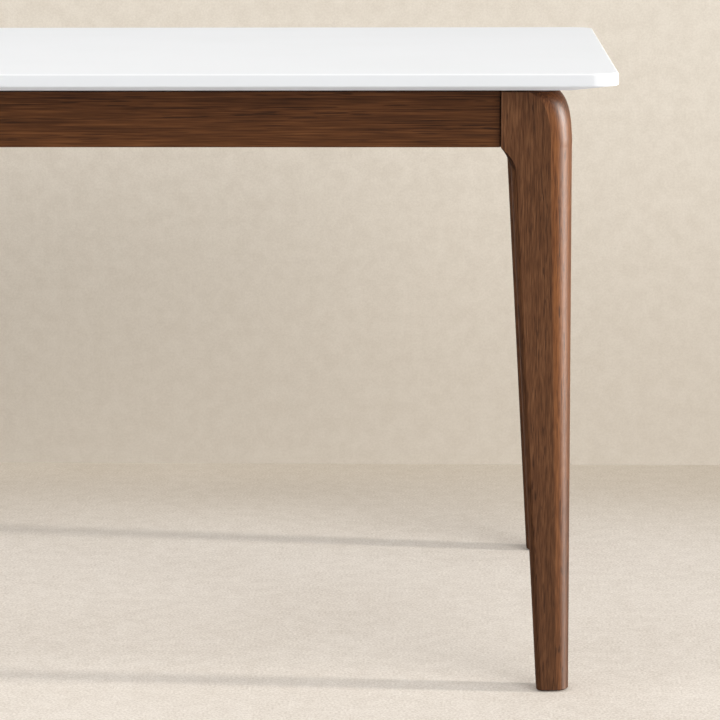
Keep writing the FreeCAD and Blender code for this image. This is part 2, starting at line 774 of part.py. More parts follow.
def make_corner_fasteners():
    outward = Vector(1, 1, 0)
    travel = {
        "hanger_bolts": (make_hanger_bolt(), "0"),
        "hanger_washers": (make_washer(), "block_gap + block_thickness"),
        "hanger_nuts": (make_nut(), "block_gap + block_thickness + washer_thickness"),
    }
    bolt_levels = pair_levels("joint_level", "bolt_spacing")
    for label, (master, along) in travel.items():
        x = f"bolt_start_u + ({along}) / sqrt(2)"
        y = f"bolt_start_v + ({along}) / sqrt(2)"
        spots = []
        for level in bolt_levels:
            spots += corner_spots(x, y, level, outward)
        spread(label, master, spots)
    screw_spots = []
    for level in pair_levels("joint_level", "block_screw_spacing"):
        screw_spots += corner_spots("block_screw_along", "apron_inner + block_screw_seat", level,
                                    Vector(0, 1, 0))
        screw_spots += corner_spots("end_apron_inner + block_screw_seat", "block_screw_across", level,
                                    Vector(1, 0, 0))
    spread("corner_block_screws", make_block_screw(), screw_spots)


def make_dowels():
    dowel = make_dowel()
    leg_spots = []
    for level in pair_levels("joint_level", "dowel_spacing"):
        leg_spots += corner_spots("head_width", "apron_middle", level, Vector(1, 0, 0))
        leg_spots += corner_spots("end_apron_middle", "head_depth", level, Vector(0, 1, 0))
    spread("leg_dowels", dowel, leg_spots)
    rail_spots = []
    seat = number("rail_length / 2 + apron_thickness / 2 - dowel_length / 2")
    for side in (-1, 1):
        for rail in (-1, 1):
            for shift in pair_levels("0", "rail_dowel_spacing"):
                x = rail * number("rail_offset") + number(shift)
                base = Vector(x, side * seat, number("rail_level"))
                rail_spots.append(Placement(base, facing(Vector(0, side, 0))))
    spread("rail_dowels", dowel, rail_spots)


def check_and_write():
    doc.recompute()
    failed = [item.Name for item in doc.Objects if {"Invalid", "Error"} & set(item.State)]
    for item in subparts:
        if item.Shape.isNull() or not item.Shape.isValid() or not item.Shape.Solids:
            failed.append(item.Label)
    if failed:
        raise RuntimeError(f"failed: {failed}")
    os.makedirs("parts", exist_ok=True)
    for item in subparts:
        item.Shape.exportStep(f"parts/{item.Label}.step")
        print(item.Label, len(item.Shape.Solids), round(item.Shape.Volume), item.Shape.BoundBox)


make_tabletop()
make_aprons()
make_four(make_leg(), "leg")
make_four(make_corner_block(), "corner_block")
left_rail = keep(make_cross_rail())
keep(mirrored(left_rail, "right_cross_rail", Vector(1, 0, 0)))
make_corner_fasteners()
make_dowels()
make_top_fasteners()
spread("glide_inserts", make_insert(), corner_spots("foot_width / 2", "foot_depth / 2", "glide_ceiling", up))
for corner_name, (corner_x, corner_y) in corners.items():
    make_glide(corner_name, corner_x, corner_y)
check_and_write()
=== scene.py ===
import math

import bmesh
import bpy
from mathutils import Euler, Matrix, Vector


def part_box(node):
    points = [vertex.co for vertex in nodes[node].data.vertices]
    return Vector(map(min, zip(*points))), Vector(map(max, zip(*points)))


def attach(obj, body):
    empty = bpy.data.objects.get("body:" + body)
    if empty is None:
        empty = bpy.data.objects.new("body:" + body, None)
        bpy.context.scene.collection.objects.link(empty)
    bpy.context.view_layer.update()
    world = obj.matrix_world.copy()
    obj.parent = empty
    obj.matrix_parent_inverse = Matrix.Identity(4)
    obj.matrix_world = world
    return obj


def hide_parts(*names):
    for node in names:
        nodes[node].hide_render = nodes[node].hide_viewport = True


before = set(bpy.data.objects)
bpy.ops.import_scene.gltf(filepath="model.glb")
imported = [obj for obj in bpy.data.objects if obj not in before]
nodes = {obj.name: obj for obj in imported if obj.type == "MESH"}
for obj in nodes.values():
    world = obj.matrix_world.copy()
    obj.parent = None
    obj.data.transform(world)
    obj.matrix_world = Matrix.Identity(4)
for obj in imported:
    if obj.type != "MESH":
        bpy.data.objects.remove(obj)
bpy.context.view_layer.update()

corners = {  # which way each leg's corner lies along x and y
    "front_left": (-1, -1),
    "front_right": (1, -1),
    "back_left": (-1, 1),
    "back_right": (1, 1),
}
plumb = Vector((0, 0, 1))
print("frame loaded:", len(nodes), "nodes")


class Shade:  # a shader socket that takes part in Python maths
    def __init__(self, tree, socket=None):
        self.tree = tree
        self.socket = socket

    def plug(self, target, value):
        if isinstance(value, Shade):
            self.tree.links.new(value.socket, target)
        else:
            target.default_value = value

    def node(self, kind, settings=None, values=None, out=0):
        made = self.tree.nodes.new("ShaderNode" + kind)
        for key, setting in (settings or {}).items():
            if key == "stops":
                fillRamp(made.color_ramp, setting)
            else:
                setattr(made, key, setting)
        for key, value in (values or {}).items():
            self.plug(made.inputs[key], value)
        return Shade(self.tree, made.outputs[out])

    def maths(self, operation, first, second=0.0):
        return self.node("Math", {"operation": operation}, {0: first, 1: second})

    def __add__(self, other):
        return self.maths("ADD", self, other)

    def __radd__(self, other):
        return self.maths("ADD", other, self)

    def __sub__(self, other):
        return self.maths("SUBTRACT", self, other)

    def __rsub__(self, other):
        return self.maths("SUBTRACT", other, self)

    def __mul__(self, other):
        return self.maths("MULTIPLY", self, other)

    def __rmul__(self, other):
        return self.maths("MULTIPLY", other, self)

    def __truediv__(self, other):
        return self.maths("DIVIDE", self, other)

    def __rtruediv__(self, other):
        return self.maths("DIVIDE", other, self)

    def __pow__(self, other):
        return self.maths("POWER", self, other)

    def __rpow__(self, other):
        return self.maths("POWER", other, self)

    def vector(self, operation, other):
        return self.node("VectorMath", {"operation": operation}, {0: self, 1: other})

    def parts(self):  # the three numbers of a vector
        made = self.node("SeparateXYZ", None, {0: self}).socket.node
        return [Shade(self.tree, socket) for socket in made.outputs]

    def noise(self, pace, detail=2.0, rough=0.5, out=0):  # cycles per metre, alike or for each axis
        paces = pace if isinstance(pace, tuple) else (pace, pace, pace)
        place = self.vector("MULTIPLY", paces)
        values = {"Vector": place, "Scale": 1.0, "Detail": detail, "Roughness": rough}
        return self.node("TexNoise", None, values, out)

    def drift(self, pace, detail, reach):  # a vector that wanders by half the reach each way
        centred = self.noise(pace, detail, out="Color").vector("SUBTRACT", (0.5, 0.5, 0.5))
        return centred.vector("MULTIPLY", (reach, reach, reach))

    def between(self, low, high):  # 0 below low, 1 above high, with a smooth way up
        values = {"Value": self, "From Min": low, "From Max": high}
        return self.node("MapRange", {"interpolation_type": "SMOOTHSTEP"}, values)

    def swing(self, depth):  # a noise as a change about its middle
        return (self - 0.5) * depth

    def atLeast(self, least):  # a mask that keeps this share where it was 0
        return least + (1 - least) * self

    def tint(self, factor, first, second, how="MIX"):  # two colours, mixed by a factor
        settings = {"data_type": "RGBA", "blend_type": how}
        return self.node("Mix", settings, {0: factor, 6: first, 7: second}, 2)


def fillRamp(ramp, stops):
    while len(ramp.elements) < len(stops):
        ramp.elements.new(1.0)
    for element, (position, colour) in zip(ramp.elements, stops):
        element.position = position
        element.color = colour


def newMaterial(name, fixed):  # fixed values go straight onto the shader's sockets
    material = bpy.data.materials.new(name)
    material.use_nodes = True
    tree = material.node_tree
    tree.nodes.clear()
    bsdf = tree.nodes.new("ShaderNodeBsdfPrincipled")
    output = tree.nodes.new("ShaderNodeOutputMaterial")
    tree.links.new(bsdf.outputs[0], output.inputs["Surface"])
    for key, value in fixed.items():
        bsdf.inputs[key].default_value = value
    return material, Shade(tree), bsdf


def finishSurface(shade, bsdf, colour, roughness, height, bump):  # bump is a depth in metres and a strength
    depth, strength = bump
    normal = shade.node("Bump", None, {"Height": height, "Distance": depth, "Strength": strength})
    shade.plug(bsdf.inputs["Base Color"], colour)
    shade.plug(bsdf.inputs["Roughness"], roughness)
    shade.plug(bsdf.inputs["Normal"], normal)


def dress(material, *names):
    for name in names:
        nodes[name].material_slots[0].material = material


walnut = {
    "dark": (0.032, 0.0120, 0.0044, 1),
    "middle": (0.115, 0.0450, 0.0178, 1),
    "light": (0.214, 0.0945, 0.0405, 1),
    "pore": (0.020, 0.0082, 0.0036, 1),
    "apronHue": (0.98, 0.87, 0.64, 1),
    "seed": (7, 5, 3),            # spreads the boards over the noise, so that no two are alike
    "ringGap": 0.0042,            # one year's growth
    "ringPace": (1, 0.7, 3),      # per year, and per metre along and into the board
    "swayPace": (9, 9, 1.4),      # per metre across, into and along the board
    "bandPace": (26, 26, 0.9),
    "curlPace": (30, 30, 8),
    "poreZonePace": (110, 110, 5),
    "finePace": (430, 760, 560),  # streaks, fibres and pores per metre across the grain
    "legPace": (14, 50, 42),      # and along it
    "apronPace": (6, 18, 24),
    "sway": 0.006,                # how far the rings wander
    "legCurl": 0.005,             # and how far the fibres do
    "apronCurl": 0.002,
    "poreCut": (0.60, 0.68),      # noise levels between which pores open
    "poreZoneCut": (0.42, 0.62),
    "poreLeast": 0.3,             # what is left of them outside their zones
    "ringDepth": 0.42,
    "bandDepth": 0.35,
    "streakDepth": 0.85,
    "fibreDepth": 1.15,
    "poreDepth": 0.66,
    "endGrainAndShade": 0.42,              # darker where a surface faces along the grain: end grain, and painted shade on the legs' shoulders under the top
    "endCut": (0.02, 0.40),       # how far a surface faces along the grain where that sets in
    "endFace": (0.90, 1.0),       # and where it is an apron's end
    "recessShade": 0.30,            # darker still inside a joint
    "jointEdge": 0.002,           # height over which that sets in
    "topGap": 0.0022,             # painted shade in the gap under the top and inside the joints
    "topGapEdge": 0.001,
    "roughness": 0.46,
    "fibreRoughness": 0.12,
    "poreRoughness": 0.15,
    "fibreHeight": 0.35,          # beside a pore's depth of 1
    "streakHeight": 0.25,
    "bump": (0.0002, 0.40),
    "ior": 1.24,
    "coatRoughness": 0.48,
    "coatIor": 1.5,
}
leg = {
    "outer": (0.10, 0.28),        # how far a surface faces outward where each of these sets in
    "highlit": (0.36, 0.70),
    "rim": (0.70, 1.0),
    "inner": (0.15, 0.42),        # and inward, upward and towards an apron
    "upper": (0.10, 0.60),
    "jointed": (0.80, 0.95),
    "fade": 0.26,                 # lighter towards the head, per metre
    "fadeFrom": 0.34,
    "outerLight": 0.16,            # painted light: the rounded outer side is made lighter and redder
    "outerLightHue": (1.0, 0.845, 0.60, 1),
    "calm": (0.05, 0.50),         # heights between which that and the figure grow to full strength
    "calmHue": 0.35,              # their shares below
    "calmFigure": 0.75,
    "rimShade": 0.20,              # painted shade: darker again where it faces right outward
    "innerShade": 0.14,            # painted shade on the round towards the inside
    "innerRoughness": 0.42,
    "sheen": 0.96,                # a satin coat only along the band of the round where the lamp's highlight falls, to strengthen it
    "rimCoatCut": 0.9,               # how much of it is left off at the rim
}
apronFoot, apronHead = [end.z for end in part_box("front_apron")]


def walnutFigure(shade, ways, pith, lean, kind):  # the grain's tone about 0, with fibres, streaks and pores
    across, deep, along = ways
    board = shade.node("CombineXYZ", None, {0: across, 1: deep, 2: along})
    seedX, seedY, seedZ = walnut["seed"]
    seeded = board.vector("ADD", (pith[0] * seedX, pith[1] * seedY, pith[0] * seedZ))
    swayed = board.vector("ADD", seeded.drift(walnut["swayPace"], 2.0, walnut["sway"]))
    sideways, inward, lengthways = swayed.parts()
    pithX = sideways - pith[0] - lengthways * lean[0]
    pithY = inward - pith[1] - lengthways * lean[1]
    years = (pithX ** 2 + pithY ** 2) ** 0.5 / walnut["ringGap"]
    rings = shade.node("CombineXYZ", None, {0: years, 1: along, 2: deep}).noise(walnut["ringPace"], 2.0, 0.65)
    bands = seeded.noise(walnut["bandPace"])
    flow = seeded.vector("ADD", seeded.drift(walnut["curlPace"], 1.0, walnut[kind + "Curl"]))
    streakPace, fibrePace, porePace = [
        (fine, fine, lengthwise) for fine, lengthwise in zip(walnut["finePace"], walnut[kind + "Pace"])
    ]
    streaks = flow.noise(streakPace, 2.0, 0.6)
    fibres = flow.noise(fibrePace)
    poreZone = seeded.noise(walnut["poreZonePace"], 1.0).between(*walnut["poreZoneCut"])
    pores = flow.noise(porePace, 1.0).between(*walnut["poreCut"]) * poreZone.atLeast(walnut["poreLeast"])
    figure = bands.swing(walnut["bandDepth"]) + streaks.swing(walnut["streakDepth"])
    figure = figure + fibres.swing(walnut["fibreDepth"]) + rings.swing(walnut["ringDepth"])
    return figure, fibres, streaks, pores


def legTones(shade, value, roughness, facing, z, side):  # adds what the rounds and heights of a leg change
    outward = facing["x"] * side[0]
    towardsApron = shade.maths("MAXIMUM", outward * -1, facing["y"] * -side[1])
    lively = z.between(*leg["calm"])
    # painted light, lighter and redder on the outer round, weaker towards the foot
    hueAndLightShare = outward.between(*leg["outer"]) * lively.atLeast(leg["calmHue"])
    highlit = outward.between(*leg["highlit"])
    rim = outward.between(*leg["rim"])
    inner = (outward * -1).between(*leg["inner"])
    upright = 1 - facing["z"].between(*leg["upper"])
    # painted shade where a leg meets an apron's foot
    joint = towardsApron.between(*leg["jointed"]) * z.between(apronFoot - walnut["jointEdge"], apronFoot)
    value = 0.5 + value.swing(lively.atLeast(leg["calmFigure"]))
    value = value + (z - leg["fadeFrom"]) * leg["fade"] + hueAndLightShare * leg["outerLight"]
    # painted shade on the rim, on the inner round and where the leg meets an apron
    value = value - rim * leg["rimShade"] - inner * leg["innerShade"] - joint * walnut["recessShade"]
    roughness = roughness + inner * leg["innerRoughness"]
    # coat only where the lamp's highlight falls on the round, none at the rim or on upward faces
    coat = (highlit - rim * leg["rimCoatCut"]) * upright * leg["sheen"]
    return value, roughness, hueAndLightShare, coat


def walnutBoard(name, grain, pith, lean, tone=0.0, side=None):  # pith and lean place the board in its log
    material, shade, bsdf = newMaterial(name, {
        "IOR": walnut["ior"], "Coat Roughness": walnut["coatRoughness"], "Coat IOR": walnut["coatIor"],
    })
    x, y, z = shade.node("TexCoord", out="Object").parts()
    ways = {"x": (z, y, x), "y": (z, x, y), "z": (x, y, z)}[grain]      # across, into and along the board
    figure, fibres, streaks, pores = walnutFigure(shade, ways, pith, lean, "leg" if side else "apron")
    facing = dict(zip("xyz", shade.node("NewGeometry", out="Normal").parts()))
    crosscut = shade.maths("ABSOLUTE", facing[grain])
    # painted shade in the shadow gap under the top
    gapFoot = apronHead - walnut["topGap"]
    gap = z.between(gapFoot - walnut["topGapEdge"], gapFoot)
    value = (0.5 + tone) + figure - gap * walnut["recessShade"]
    # end grain darker, with painted shade on the legs' up-tilted shoulders
    value = value - crosscut.between(*walnut["endCut"]) * walnut["endGrainAndShade"]
    roughness = walnut["roughness"] + fibres.swing(walnut["fibreRoughness"]) + pores * walnut["poreRoughness"]
    if side:
        value, roughness, hueAndLightShare, coat = legTones(shade, value, roughness, facing, z, side)
        hue = leg["outerLightHue"]
        shade.plug(bsdf.inputs["Coat Weight"], coat)
    else:
        # painted shade on an apron's end, inside its joint
        value = value - crosscut.between(*walnut["endFace"]) * walnut["recessShade"]
        hueAndLightShare = 1.0
        hue = walnut["apronHue"]
    stops = [(0.0, walnut["dark"]), (0.5, walnut["middle"]), (1.0, walnut["light"])]
    colour = shade.node("ValToRGB", {"stops": stops}, {0: value})
    # on a leg this share carries the painted light of the outer round; on an apron it is the board's own hue
    colour = shade.tint(hueAndLightShare, colour, hue, "MULTIPLY")
    colour = shade.tint(pores * walnut["poreDepth"], colour, walnut["pore"])
    height = fibres * walnut["fibreHeight"] + streaks * walnut["streakHeight"] - pores
    finishSurface(shade, bsdf, colour, roughness, height, walnut["bump"])
    return material


lacquer = {
    "colour": (0.840, 0.842, 0.845, 1),
    "aged": (0.825, 0.827, 0.826, 1),     # faint unevenness of the sprayed coat
    "highlit": (0.930, 0.930, 0.930, 1),   # painted highlight along the upper arris, which has a glossy coat too
    "arrisFrom": (0.15, 0.45),    # how far up a surface faces where that sets in
    "arrisTo": (0.80, 0.97),      # and where it ends
    "cloudPace": 5,               # cycles per metre
    "peelPace": 330,              # orange peel of a sprayed finish
    "dustPace": 900,
    "cloudCut": (0.35, 0.75),     # noise levels between which it shows
    "dustCut": (0.66, 0.74),
    "cloudDepth": 0.7,
    "roughness": 0.58,
    "cloudRoughness": 0.08,
    "peelRoughness": 0.05,
    "dustRoughness": 0.04,
    "dustHeight": 0.3,
    "bump": (0.00006, 0.25),
    "ior": 1.12,
    "coatRoughness": 0.30,
    "coatIor": 1.9,
}


def whiteLacquer():
    material, shade, bsdf = newMaterial("whiteLacquer", {
        "IOR": lacquer["ior"], "Coat Roughness": lacquer["coatRoughness"], "Coat IOR": lacquer["coatIor"],
    })
    place = shade.node("TexCoord", out="Object")
    clouds = place.noise(lacquer["cloudPace"], 3.0)
    peel = place.noise(lacquer["peelPace"], 1.0)
    dust = place.noise(lacquer["dustPace"]).between(*lacquer["dustCut"])
    facingUp = shade.node("NewGeometry", out="Normal").parts()[2]
    arris = facingUp.between(*lacquer["arrisFrom"]) - facingUp.between(*lacquer["arrisTo"])
    aged = clouds.between(*lacquer["cloudCut"]) * lacquer["cloudDepth"]
    colour = shade.tint(aged, lacquer["colour"], lacquer["aged"])
    # painted highlight: the upper arris is made lighter
    colour = shade.tint(arris, colour, lacquer["highlit"])
    roughness = lacquer["roughness"] + clouds.swing(lacquer["cloudRoughness"])
    roughness = roughness + peel.swing(lacquer["peelRoughness"]) + dust * lacquer["dustRoughness"]
    shade.plug(bsdf.inputs["Coat Weight"], arris)
    finishSurface(shade, bsdf, colour, roughness, peel + dust * lacquer["dustHeight"], lacquer["bump"])
    return material


beech = {
    "light": (0.56, 0.385, 0.235, 1),
    "dark": (0.40, 0.245, 0.130, 1),
    "fleck": (0.27, 0.145, 0.070, 1),
    "bandPace": (40, 40, 1.5),    # per metre across, into and along the board
    "streakPace": (260, 260, 9),
    "fleckPace": (700, 700, 110),
    "figureDepth": 0.6,           # of bands and streaks alike
    "figureCut": (0.38, 0.82),
    "fleckCut": (0.66, 0.72),
    "fleckDepth": 0.6,
    "fleckHeight": 0.5,
    "roughness": 0.56,
    "streakRoughness": 0.2,
    "bump": (0.0002, 0.4),
    "ior": 1.45,
}


def beechWood(name, grain):  # grain along y, or along one of the two diagonals
    material, shade, bsdf = newMaterial(name, {"IOR": beech["ior"]})
    x, y, z = shade.node("TexCoord", out="Object").parts()
    diagonal = (x + y) * math.sqrt(0.5)
    crosswise = (x - y) * math.sqrt(0.5)
    ways = {"y": (x, z, y), "diagonal": (crosswise, z, diagonal), "crosswise": (diagonal, z, crosswise)}
    across, deep, along = ways[grain]
    board = shade.node("CombineXYZ", None, {0: across, 1: deep, 2: along})
    bands = board.noise(beech["bandPace"])
    streaks = board.noise(beech["streakPace"], 3.0)
    flecks = board.noise(beech["fleckPace"], 0.0).between(*beech["fleckCut"])
    figure = (bands + streaks) * beech["figureDepth"]
    colour = shade.tint(figure.between(*beech["figureCut"]), beech["light"], beech["dark"])
    colour = shade.tint(flecks * beech["fleckDepth"], colour, beech["fleck"])
    roughness = beech["roughness"] + streaks.swing(beech["streakRoughness"])
    finishSurface(shade, bsdf, colour, roughness, streaks - flecks * beech["fleckHeight"], beech["bump"])
    return material


zinc = {
    "bright": (0.66, 0.67, 0.69, 1),
    "dull": (0.47, 0.47, 0.46, 1),
    "patchPace": 160,             # cycles per metre
    "gritPace": 2600,
    "patchCut": (0.35, 0.7),
    "roughness": 0.30,            # at a patch level of patchBase
    "patchBase": 0.4,
    "patchRoughness": 0.35,
    "gritRoughness": 0.12,
    "bump": (0.00003, 0.3),
}


def zincSteel():
    material, shade, bsdf = newMaterial("zincSteel", {"Metallic": 1.0})
    place = shade.node("TexCoord", out="Object")
    patches = place.noise(zinc["patchPace"], 3.0)
    grit = place.noise(zinc["gritPace"], 1.0)
    colour = shade.tint(patches.between(*zinc["patchCut"]), zinc["bright"], zinc["dull"])
    roughness = zinc["roughness"] + (patches - zinc["patchBase"]) * zinc["patchRoughness"]
    roughness = roughness + grit.swing(zinc["gritRoughness"])
    finishSurface(shade, bsdf, colour, roughness, grit, zinc["bump"])
    return material


nylon = {
    "colour": (0.020, 0.020, 0.021, 1),
    "scuffed": (0.060, 0.058, 0.056, 1),
    "grainPace": 2200,            # cycles per metre
    "scuffPace": 420,
    "scuffCut": (0.5, 0.75),
    "soleEdge": 0.0015,           # height of what slides on the floor
    "scuffLeast": 0.25,           # share of the scuffs above it
    "roughness": 0.48,
    "grainRoughness": 0.2,
    "scuffRoughness": 0.1,
    "bump": (0.00004, 0.4),
    "ior": 1.53,
}


def blackNylon():
    material, shade, bsdf = newMaterial("blackNylon", {"IOR": nylon["ior"]})
    place = shade.node("TexCoord", out="Object")
    grain = place.noise(nylon["grainPace"])
    scuffs = place.noise(nylon["scuffPace"], 3.0)
    sole = 1 - place.parts()[2].between(0.0, nylon["soleEdge"])
    worn = scuffs.between(*nylon["scuffCut"]) * sole.atLeast(nylon["scuffLeast"])
    colour = shade.tint(worn, nylon["colour"], nylon["scuffed"])
    roughness = nylon["roughness"] + grain.swing(nylon["grainRoughness"])
    roughness = roughness + scuffs.swing(nylon["scuffRoughness"])
    finishSurface(shade, bsdf, colour, roughness, grain, nylon["bump"])
    return material


apronLogs = {  # the finish's name, its grain, where the log had its pith, how it leaned, and its tone
    "front_apron": ("frontApronWalnut", "x", (0.560, -0.210), (0.006, 0.004), -0.10),
    "back_apron": ("backApronWalnut", "x", (0.570, 0.230), (-0.007, 0.003), -0.08),
    "left_end_apron": ("leftEndWalnut", "y", (0.580, -0.640), (0.008, 0.010), -0.06),
    "right_end_apron": ("rightEndWalnut", "y", (0.565, 0.650), (-0.006, 0.012), -0.06),
}
legLogs = {  # where each leg's log had its pith, inward from the leg's outer corner, and how it leaned
    "front_left": ((0.030, 0.105), (0.014, 0.020)),
    "front_right": ((0.046, 0.110), (-0.012, 0.022)),
    "back_left": ((0.020, 0.125), (0.010, -0.024)),
    "back_right": ((0.055, 0.115), (0.011, -0.020)),
}
steelFinish = zincSteel()
nylonFinish = blackNylon()
dress(whiteLacquer(), "tabletop")
for name, log in apronLogs.items():
    dress(walnutBoard(*log), name)
for corner, (sideX, sideY) in corners.items():
    offset, lean = legLogs[corner]
    low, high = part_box(corner + "_leg")
    outer = (high.x if sideX > 0 else low.x, high.y if sideY > 0 else low.y)
    pith = (outer[0] - sideX * offset[0], outer[1] - sideY * offset[1])
    dress(walnutBoard(corner + "LegWalnut", "z", pith, lean, side=(sideX, sideY)), corner + "_leg")
    blockGrain = "diagonal" if sideX * sideY < 0 else "crosswise"
    dress(beechWood(corner + "BlockBeech", blockGrain), corner + "_corner_block")
    dress(steelFinish, corner + "_glide_stud")
    dress(nylonFinish, corner + "_glide_base")
dress(beechWood("railBeech", "y"), "left_cross_rail", "right_cross_rail", "leg_dowels", "rail_dowels")
dress(steelFinish, "hanger_bolts", "hanger_washers", "hanger_nuts", "corner_block_screws")
dress(steelFinish, "top_fastener_plates", "top_fastener_screws", "glide_inserts")
print("finishes done")


crispAngle = math.radians(32)     # edges that turn by more than this stay sharp
weldReach = 1e-5                  # points of a node closer than this are one


def addPiece(name, shells, material, slot, body, *replaced):  # a shell is its rings, and whether they join up
    points = []
    faces = []
    for rings, closed in shells:
        base = len(points)
        count = len(rings[0])
        last = len(rings) - 1
        for ring in rings:
            points.extend(ring)
        for index in range(last + closed):
            near = base + index * count
            far = base + (index + 1) % len(rings) * count
            for step in range(count):
                following = (step + 1) % count
                faces.append((near + step, near + following, far + following, far + step))
        if not closed:
            faces.append([base + step for step in reversed(range(count))])
            faces.append([base + last * count + step for step in range(count)])
    mesh = bpy.data.meshes.new(name)
    mesh.from_pydata(points, [], faces)
    mesh.shade_smooth()
    mesh.set_sharp_from_angle(angle=crispAngle)
    mesh.materials.append(material)
    piece = bpy.data.objects.new(name, mesh)
    bpy.context.collection.objects.link(piece)
    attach(piece, body)
    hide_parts(*replaced)


def turnedRing(centre, axis, reaches, lifts=None):  # one ring of points about an axis
    side = axis.orthogonal().normalized()
    upward = axis.cross(side)
    ring = []
    for step, reach in enumerate(reaches):
        angle = 2 * math.pi * step / len(reaches)
        lift = lifts[step] if lifts else 0.0
        ring.append(centre + axis * lift + reach * (math.cos(angle) * side + math.sin(angle) * upward))
    return ring


def footOf(low, high):  # the middle of a box's lower face
    return Vector(((low.x + high.x) / 2, (low.y + high.y) / 2, low.z))


def spans(name):  # start, axis, length and radius of each copy in a corner node
    shape = bmesh.new()
    shape.from_mesh(nodes[name].data)
    bmesh.ops.remove_doubles(shape, verts=shape.verts[:], dist=weldReach)
    waiting = set(shape.verts)
    found = []
    while waiting:
        front = [waiting.pop()]
        island = []
        while front:
            vert = front.pop()
            island.append(vert.co.copy())
            linked = {edge.other_vert(vert) for edge in vert.link_edges} & waiting
            waiting -= linked
            front.extend(linked)
        axis = Vector((-math.copysign(1, island[0].x), -math.copysign(1, island[0].y), 0)).normalized()
        sideways = axis.cross(plumb)
        along = [point.dot(axis) for point in island]
        across = [point.dot(sideways) for point in island]
        heights = [point.z for point in island]
        level = plumb * (min(heights) + max(heights)) / 2
        start = axis * min(along) + sideways * (min(across) + max(across)) / 2 + level
        found.append((start, axis, max(along) - min(along), (max(heights) - min(heights)) / 2))
    shape.free()
    return sorted(found, key=lambda span: tuple(span[0]))


threads = {
    "segments": 20,
    "ringGap": 0.00031,               # along the rod
    "machine": (0.00125, 0.00060),    # pitch and depth
    "wood": (0.0030, 0.0010),
    "plain": (0.40, 0.50),            # shares of a hanger bolt between its two threads
    "tip": (0.0010, 0.0060),          # radius at the point, and the length of its taper
    "core": 0.4,                      # least share of the radius that a thread leaves
    "chamfer": 0.0008,
}


def rodRings(start, axis, length, radius, pointed):
    count = round(length / threads["ringGap"])
    rings = []
    for index in range(count + 1):
        along = length * index / count
        pitch, depth = threads["machine"]
        limit = min(radius, radius - threads["chamfer"] + length - along)
        if pointed and along < threads["plain"][1] * length:
            pitch, depth = threads["wood"]
            tipRadius, tipLength = threads["tip"]
            limit = min(radius, tipRadius + (radius - tipRadius) * along / tipLength)
            if along > threads["plain"][0] * length:
                depth = 0.0
        reaches = []
        for step in range(threads["segments"]):
            turn = (along / pitch - step / threads["segments"]) % 1
            reaches.append(max(limit - depth * abs(2 * turn - 1), threads["core"] * limit))
        rings.append(turnedRing(start + axis * along, axis, reaches))
    return rings


nut = {
    "segments": 48,
    "flats": 6,
    "halfFlats": 0.0065,
    "bore": 0.00405,
    "boreEase": 0.0005,
    "crownSlope": 0.55,
}


def nutRings(start, axis, height):
    sector = 360 / nut["flats"]
    reaches = []
    for step in range(nut["segments"]):
        angle = 360 * step / nut["segments"] % sector - sector / 2
        reaches.append(nut["halfFlats"] / math.cos(math.radians(angle)))
    drops = [(reach - nut["halfFlats"]) * nut["crownSlope"] for reach in reaches]
    face = [nut["halfFlats"]] * nut["segments"]
    bore = [nut["bore"]] * nut["segments"]
    mouth = [nut["bore"] + nut["boreEase"]] * nut["segments"]
    end = start + axis * height
    ease = axis * nut["boreEase"]
    return [
        turnedRing(start, axis, mouth),
        turnedRing(start, axis, face),
        turnedRing(start, axis, reaches, drops),
        turnedRing(end, axis, reaches, [-drop for drop in drops]),
        turnedRing(end, axis, face),
        turnedRing(end, axis, mouth),
        turnedRing(end - ease, axis, bore),
        turnedRing(start + ease, axis, bore),
    ]


washer = {
    "segments": 40,
    "bore": 0.0045,
    "ease": 0.0003,
}


def washerRings(start, axis, height, radius):
    ease = washer["ease"]
    bore = washer["bore"]
    profile = [
        (bore + ease, 0), (radius - ease, 0), (radius, ease), (radius, height - ease),
        (radius - ease, height), (bore + ease, height), (bore, height - ease), (bore, ease),
    ]
    return [turnedRing(start + axis * lift, axis, [reach] * washer["segments"]) for reach, lift in profile]


glide = {
    "segments": 72,
    "ribDepth": 0.035,       # share of the radius
    "ribStep": 3,            # every third point lies in a groove
    "profile": [             # shares of radius and height, and 1 where ribbed, from the sole to the socket
        (0.10, 0.09, 0), (0.44, 0.09, 0), (0.50, 0.0, 0), (0.86, 0.0, 0), (0.94, 0.03, 0), (0.98, 0.09, 0),
        (1.0, 0.20, 0), (1.0, 0.22, 1), (1.0, 0.78, 1), (1.0, 0.80, 0), (0.98, 0.92, 0), (0.93, 1.0, 0),
        (0.60, 1.0, 0), (0.55, 0.95, 0), (0.40, 0.95, 0), (0.312, 0.92, 0), (0.312, 0.44, 0),
    ],
}


def glideRings(low, high):
    radius = (high.x - low.x) / 2
    foot = footOf(low, high)
    rings = []
    for reach, lift, ribbed in glide["profile"]:
        reaches = []
        for step in range(glide["segments"]):
            groove = ribbed * glide["ribDepth"] * (step % glide["ribStep"] == 0)
            reaches.append(radius * (reach - groove))
        rings.append(turnedRing(foot + plumb * lift * (high.z - low.z), plumb, reaches))
    return rings


addPiece("hangerBolts", [(rodRings(*span, True), False) for span in spans("hanger_bolts")],
         steelFinish, "zinc_steel", "table", "hanger_bolts")
addPiece("hangerNuts", [(nutRings(*span[:3]), True) for span in spans("hanger_nuts")],
         steelFinish, "zinc_steel", "table", "hanger_nuts")
addPiece("hangerWashers", [(washerRings(*span), True) for span in spans("hanger_washers")],
         steelFinish, "zinc_steel", "table", "hanger_washers")
for corner in corners:
    low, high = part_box(corner + "_glide_stud")
    stud = rodRings(footOf(low, high), plumb, high.z - low.z, (high.x - low.x) / 2, False)
    addPiece(corner + "GlideStud", [(stud, False)], steelFinish, "zinc_steel", corner + "_glide",
             corner + "_glide_stud")
    base = glideRings(*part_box(corner + "_glide_base"))
    addPiece(corner + "GlideBase", [(base, False)], nylonFinish, "black_nylon", corner + "_glide",
             corner + "_glide_base")
print("hardware done")


